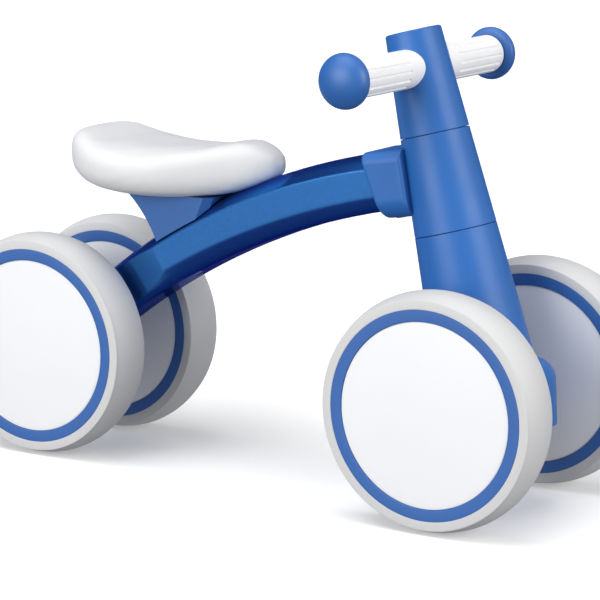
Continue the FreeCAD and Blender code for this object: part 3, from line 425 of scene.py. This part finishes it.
def make_grip(hand, side):
    """A sleeve with long grooves, its inner end cut to the column's cone."""
    # Rings of points along the grip lie closer together at both ends of the grooves.
    lines = [*np.linspace(FLUTE_START - 2, FLUTE_START + 2, 12),
             *np.linspace(FLUTE_START + 6, FLUTE_END - 5, 10),
             *np.linspace(FLUTE_END - 2, FLUTE_END + 2, 12)]
    end = [(0.0, GRIP_END - 1.4), (0.12, GRIP_END - 0.7), (0.5, GRIP_END - 0.2), (1.2, GRIP_END)]
    angles = [2 * math.pi * step / GRIP_STEPS for step in range(GRIP_STEPS)]
    points = []
    for angle in angles:
        up = BAR_HEIGHT + GRIP_RADIUS * math.cos(angle)
        reach = column_radius(up) ** 2 - (GRIP_RADIUS * math.sin(angle)) ** 2
        points.append((angle, math.sqrt(reach) - GRIP_TUCK, GRIP_RADIUS))
    for along in lines:
        points += [(angle, along, GRIP_RADIUS - flute(angle, along)) for angle in angles]
    for inset, along in end:
        points += [(angle, along, GRIP_RADIUS - inset) for angle in angles]
    placed = [(radius * math.sin(angle), along * side, radius * math.cos(angle))
              for angle, along, radius in points]
    rings = len(points) // GRIP_STEPS
    made = new_mesh(f"grip_{hand}_skin", placed, ring_faces(rings, GRIP_STEPS), BAR)
    paint(made, "grip_rubber")
    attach(made, "steering")
    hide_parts(f"grip_{hand}")


def make_knob(hand, side):
    """A turned knob: short spigot, flat back with a rounded rim, then one even dome."""
    start = KNOB_BACK - SPIGOT_LENGTH
    spigot = [(0.0, start), (SPIGOT_RADIUS, start), (SPIGOT_RADIUS, KNOB_BACK)]
    rim = [(KNOB_RADIUS - inset, KNOB_BACK + lift) for inset, lift in
           ((3.0, 0.0), (1.8, 0.15), (0.8, 0.7), (0.2, 1.6), (0.0, 2.6))]
    dome = [(KNOB_RADIUS * math.cos(t), KNOB_RIM + (KNOB_END - KNOB_RIM) * math.sin(t))
            for t in np.linspace(0.02, math.pi / 2, 30)]
    made = lathe(f"knob_{hand}_skin", spigot + rim + dome, BAR @ turn_to((0, side, 0)),
                 closed=False)
    paint(made, "knob_plastic")
    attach(made, "steering")
    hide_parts(f"knob_{hand}")


# ---------------------------------------------------------------- saddle

# Along the saddle, from 0 at its tail to 1 at its nose: half its width, and the heights of its
# top and its underside.
HALF_WIDTHS = ((0.0, 54.0), (0.15, 58.5), (0.5, 48.5), (0.8, 29.0), (1.0, 27.5))
TOPS = ((0.0, 231.0), (0.09, 237.0), (0.22, 230.0), (0.4, 226.0), (0.65, 227.5), (0.89, 233.0),
        (1.0, 225.5))
UNDERSIDES = ((0.0, 201.0), (0.2, 193.5), (0.5, 190.0), (0.8, 196.0), (1.0, 208.0))
SADDLE_TAIL = -165.5
SADDLE_NOSE = 4.5
SADDLE_RINGS = 72
SADDLE_STEPS = 72
# Powers of the superellipses that close the saddle in plan and from the side, and of its
# cross-section; and how much narrower the underside is.
PLAN_POWER = 2.35
SIDE_POWER = 7.0
SECTION_POWER = 4.0
UNDERCUT = 0.12
# The foam starts this far inside the skin, and the skin then puffs by no more than this.
FOAM_INSET = 0.8
PUFF_LIMIT = 1.4
PUFF_FRAMES = 20
# The first and last rings stop just short of the two end points, which caps close.
TIP_GAP = 0.02
THINNEST = 0.5


def smooth_through(at, line):
    """Cubic curve through a line's points."""
    places, values = np.array(line).T
    slopes = np.gradient(values, places)
    left = np.clip(np.searchsorted(places, at) - 1, 0, len(places) - 2)
    gap = places[left + 1] - places[left]
    t = (at - places[left]) / gap
    return (values[left] * (1 + 2 * t) * (1 - t) ** 2 + gap * slopes[left] * t * (1 - t) ** 2
            + values[left + 1] * t * t * (3 - 2 * t)
            + gap * slopes[left + 1] * t * t * (t - 1))


def closing(share, power):
    """1 along the middle and 0 at both ends, as a superellipse."""
    return np.clip(1 - np.abs(2 * share - 1) ** power, 0, 1) ** (1 / power)


def rounded_wave(wave):
    """A sine or cosine, squared off for the cross-section."""
    return np.sign(wave) * np.abs(wave) ** (2 / SECTION_POWER)


def saddle_points():
    """Rings of points from tail to nose."""
    turn = np.linspace(TIP_GAP, math.pi - TIP_GAP, SADDLE_RINGS)
    share = (1 - np.cos(turn)) / 2
    x = SADDLE_TAIL + (SADDLE_NOSE - SADDLE_TAIL) * share
    half = smooth_through(share, HALF_WIDTHS) * closing(share, PLAN_POWER) - FOAM_INSET
    top = smooth_through(share, TOPS)
    low = smooth_through(share, UNDERSIDES)
    middle = (top + low) / 2
    thick = (top - low) / 2 * closing(share, SIDE_POWER) - FOAM_INSET
    angle = np.linspace(0, 2 * math.pi, SADDLE_STEPS, endpoint=False)
    across = rounded_wave(np.cos(angle))
    upward = rounded_wave(np.sin(angle))
    narrowing = 1 - UNDERCUT * np.clip(-upward, 0, 1) ** 2
    y = np.maximum(half, THINNEST)[:, None] * across * narrowing
    z = middle[:, None] + np.maximum(thick, THINNEST)[:, None] * upward
    return np.stack([np.repeat(x[:, None], SADDLE_STEPS, 1), y, z], 2).reshape(-1, 3)


def make_saddle():
    """The saddle's foam form, puffed slightly inside its skin by a short cloth run."""
    faces = ring_faces(SADDLE_RINGS, SADDLE_STEPS)
    last = (SADDLE_RINGS - 1) * SADDLE_STEPS
    faces += [tuple(range(SADDLE_STEPS)), tuple(range(last, last + SADDLE_STEPS))]
    saddle = new_mesh("saddle", saddle_points().tolist(), faces)
    bpy.context.view_layer.objects.active = saddle
    saddle.select_set(True)
    remesh = saddle.modifiers.new("even", "REMESH")
    remesh.mode = "VOXEL"
    remesh.voxel_size = 0.004
    apply_modifiers(saddle)
    puff(saddle)
    relax = saddle.modifiers.new("relax", "SMOOTH")
    relax.factor = 0.5
    relax.iterations = 4
    fine = saddle.modifiers.new("fine", "SUBSURF")
    fine.levels = fine.render_levels = 1
    apply_modifiers(saddle)
    for face in saddle.data.polygons:
        face.use_smooth = True
    paint(saddle, "seat_skin")
    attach(saddle, "frame")
    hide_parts("seat_cushion")


def apply_modifiers(piece):
    """Turns a piece into the mesh that its modifiers make."""
    depsgraph = bpy.context.evaluated_depsgraph_get()
    mesh = bpy.data.meshes.new_from_object(piece.evaluated_get(depsgraph))
    piece.modifiers.clear()
    piece.data = mesh


def positions(mesh):
    """The mesh's points, one row each."""
    flat = np.zeros(len(mesh.vertices) * 3)
    mesh.vertices.foreach_get("co", flat)
    return flat.reshape(-1, 3)


def puff(piece):
    """Inflates the skin against its seat plate, and keeps the change small."""
    rest = positions(piece.data)
    held = piece.vertex_groups.new(name="held")
    facing_down = -0.75
    for vertex in piece.data.vertices:
        held.add([vertex.index], 1.0 if vertex.normal.z < facing_down else 0.0, "REPLACE")
    cloth = piece.modifiers.new("skin", "CLOTH")
    settings = cloth.settings
    settings.quality = 6
    settings.mass = 0.4
    settings.tension_stiffness = 60
    settings.compression_stiffness = 60
    settings.shear_stiffness = 20
    settings.bending_stiffness = 8
    settings.use_pressure = True
    settings.uniform_pressure_force = 4.0
    settings.vertex_group_mass = "held"
    settings.effector_weights.gravity = 0.0
    scene = bpy.context.scene
    scene.frame_start, scene.frame_end = 1, PUFF_FRAMES
    for number in range(1, PUFF_FRAMES + 1):
        scene.frame_set(number)
    apply_modifiers(piece)
    step = positions(piece.data) - rest
    length = np.linalg.norm(step, axis=1, keepdims=True)
    capped = rest + step * np.minimum(1.0, PUFF_LIMIT * MM / np.maximum(length, 1e-9))
    piece.data.vertices.foreach_set("co", capped.ravel())
    piece.data.update()
    scene.frame_set(1)


# ---------------------------------------------------------------- stage


CAMERA_PLACE = (1.0464, -1.6449, 0.5168)
CAMERA_FORWARD = (-0.51927, 0.83116, -0.19885)
CAMERA_ROLL = math.radians(0.433)
LENS = 170.5
FLOOR_HALF = 9000.0
# Softboxes point at the bike's middle.
LIGHT_AIM = Vector((0.0, 0.0, 0.14))
AMBIENT = 0.36
MIRRORED_WALLS = 0.9
LIGHT_WALL = (0.95, 0.97, 1.0, 1.0)
DARK_WALL = (0.06, 0.07, 0.26, 1.0)
# Where the walls that shiny pieces see are dark: behind the bike, below it and at its rear.
# Each has a direction, and how far towards it the wall starts to darken and is dark.
DARK_DIRECTIONS = (
    ((-0.53, 0.84, -0.25), 0.15, 0.70),
    ((0.0, 0.0, -1.0), 0.26, 0.42),
    ((-1.0, 0.0, 0.0), 0.60, 0.72),
)


def make_camera():
    """A long lens in front of the bike at its right, looking slightly down."""
    data = bpy.data.cameras.new("camera")
    data.lens = LENS
    data.sensor_width = 36.0
    data.shift_x = -0.0006
    data.shift_y = 0.0025
    data.dof.use_dof = False
    camera = add_object("camera", data)
    forward = Vector(CAMERA_FORWARD).normalized()
    level = forward.cross(Vector((0, 0, 1))).normalized()
    upright = level.cross(forward)
    right = level * math.cos(CAMERA_ROLL) + upright * math.sin(CAMERA_ROLL)
    up = upright * math.cos(CAMERA_ROLL) - level * math.sin(CAMERA_ROLL)
    turn = Matrix((right, up, -forward)).transposed().to_4x4()
    camera.matrix_world = Matrix.Translation(CAMERA_PLACE) @ turn
    bpy.context.scene.camera = camera


def add_light(name, data, shining):
    """A light object that shines in this direction."""
    light = add_object(name, data)
    light.rotation_euler = shining.to_track_quat("-Z", "Y").to_euler()
    return light


def softbox(name, place, width, height, power):
    data = bpy.data.lights.new(name, "AREA")
    data.shape = "RECTANGLE"
    data.size = width
    data.size_y = height
    data.energy = power
    light = add_light(name, data, LIGHT_AIM - Vector(place))
    light.location = place


def sky_light(name, toward, spread, strength):
    """A broad, soft light from far away, as wide as this many degrees."""
    data = bpy.data.lights.new(name, "SUN")
    data.energy = strength
    data.angle = math.radians(spread)
    add_light(name, data, -Vector(toward))


def make_lights():
    softbox("right", (1.6, -0.35, 0.75), width=0.4, height=1.1, power=3.0)
    softbox("left", (-1.2, -1.5, 1.0), width=0.6, height=1.0, power=3.0)
    sky_light("top", (-0.15, -0.3, 1.0), spread=50, strength=1.6)
    sky_light("side", (-0.25, -1.0, 0.25), spread=40, strength=1.95)
    sky_light("front", (1.0, 0.05, 0.35), spread=40, strength=1.4)


def make_floor():
    """A wide white floor that catches shadows, and doesn't light or mirror in the bike."""
    reach = FLOOR_HALF
    corners = [(-reach, -reach, 0), (reach, -reach, 0), (reach, reach, 0), (-reach, reach, 0)]
    floor = new_mesh("floor", corners, [(0, 1, 2, 3)])
    look = Look("floor_white")
    soft = look.colours(look.noise(1.5, 1.0), (0.93, 0.93, 0.93), (0.95, 0.95, 0.95))
    floor.data.materials.append(look.finish(
        Base_Color=soft, Roughness=0.9, Specular_IOR_Level=0.0,
        Emission_Color=(1.0, 1.0, 1.0, 1.0), Emission_Strength=0.15))
    floor.visible_glossy = False
    floor.visible_diffuse = False


def wall_darkness(nodes, links):
    """How dark the mirrored walls are in each direction, from 0 to 1."""
    toward = nodes.new("ShaderNodeTexCoord").outputs["Generated"]
    darkness = None
    for direction, start, end in DARK_DIRECTIONS:
        facing = nodes.new("ShaderNodeVectorMath")
        facing.operation = "DOT_PRODUCT"
        facing.inputs[1].default_value = direction
        links.new(toward, facing.inputs[0])
        fade = nodes.new("ShaderNodeMapRange")
        fade.inputs["From Min"].default_value = start
        fade.inputs["From Max"].default_value = end
        links.new(facing.outputs["Value"], fade.inputs["Value"])
        if darkness is None:
            darkness = fade.outputs["Result"]
            continue
        darker = nodes.new("ShaderNodeMath")
        darker.operation = "MAXIMUM"
        links.new(darkness, darker.inputs[0])
        links.new(fade.outputs["Result"], darker.inputs[1])
        darkness = darker.outputs["Value"]
    return darkness


def make_world():
    """An even light from all around. Mirror-like rays see light walls with dark parts."""
    world = bpy.data.worlds.new("studio")
    bpy.context.scene.world = world
    world.use_nodes = True
    nodes, links = world.node_tree.nodes, world.node_tree.links
    nodes.clear()
    output = nodes.new("ShaderNodeOutputWorld")
    plain = nodes.new("ShaderNodeBackground")
    plain.inputs["Color"].default_value = (1.0, 1.0, 1.0, 1.0)
    plain.inputs["Strength"].default_value = AMBIENT
    walls = nodes.new("ShaderNodeBackground")
    walls.inputs["Strength"].default_value = MIRRORED_WALLS
    ramp = nodes.new("ShaderNodeValToRGB")
    ramp.color_ramp.elements[0].color = LIGHT_WALL
    ramp.color_ramp.elements[1].color = DARK_WALL
    links.new(wall_darkness(nodes, links), ramp.inputs["Fac"])
    links.new(ramp.outputs["Color"], walls.inputs["Color"])
    path = nodes.new("ShaderNodeLightPath")
    choose = nodes.new("ShaderNodeMixShader")
    links.new(path.outputs["Is Glossy Ray"], choose.inputs["Fac"])
    links.new(plain.outputs["Background"], choose.inputs[1])
    links.new(walls.outputs["Background"], choose.inputs[2])
    links.new(choose.outputs["Shader"], output.inputs["Surface"])


# ---------------------------------------------------------------- the whole scene

for item in frame["record"]["subparts"]:
    node = frame["nodes"][item["node"]]
    paint(node, item["material_slot"])

for end in ("front", "rear"):
    for hand in ("left", "right"):
        make_wheel(end, hand)
for hand, side in (("left", 1), ("right", -1)):
    make_grip(hand, side)
    make_knob(hand, side)
make_saddle()

make_world()
make_lights()
make_floor()
make_camera()
bpy.context.scene.view_settings.view_transform = "Standard"
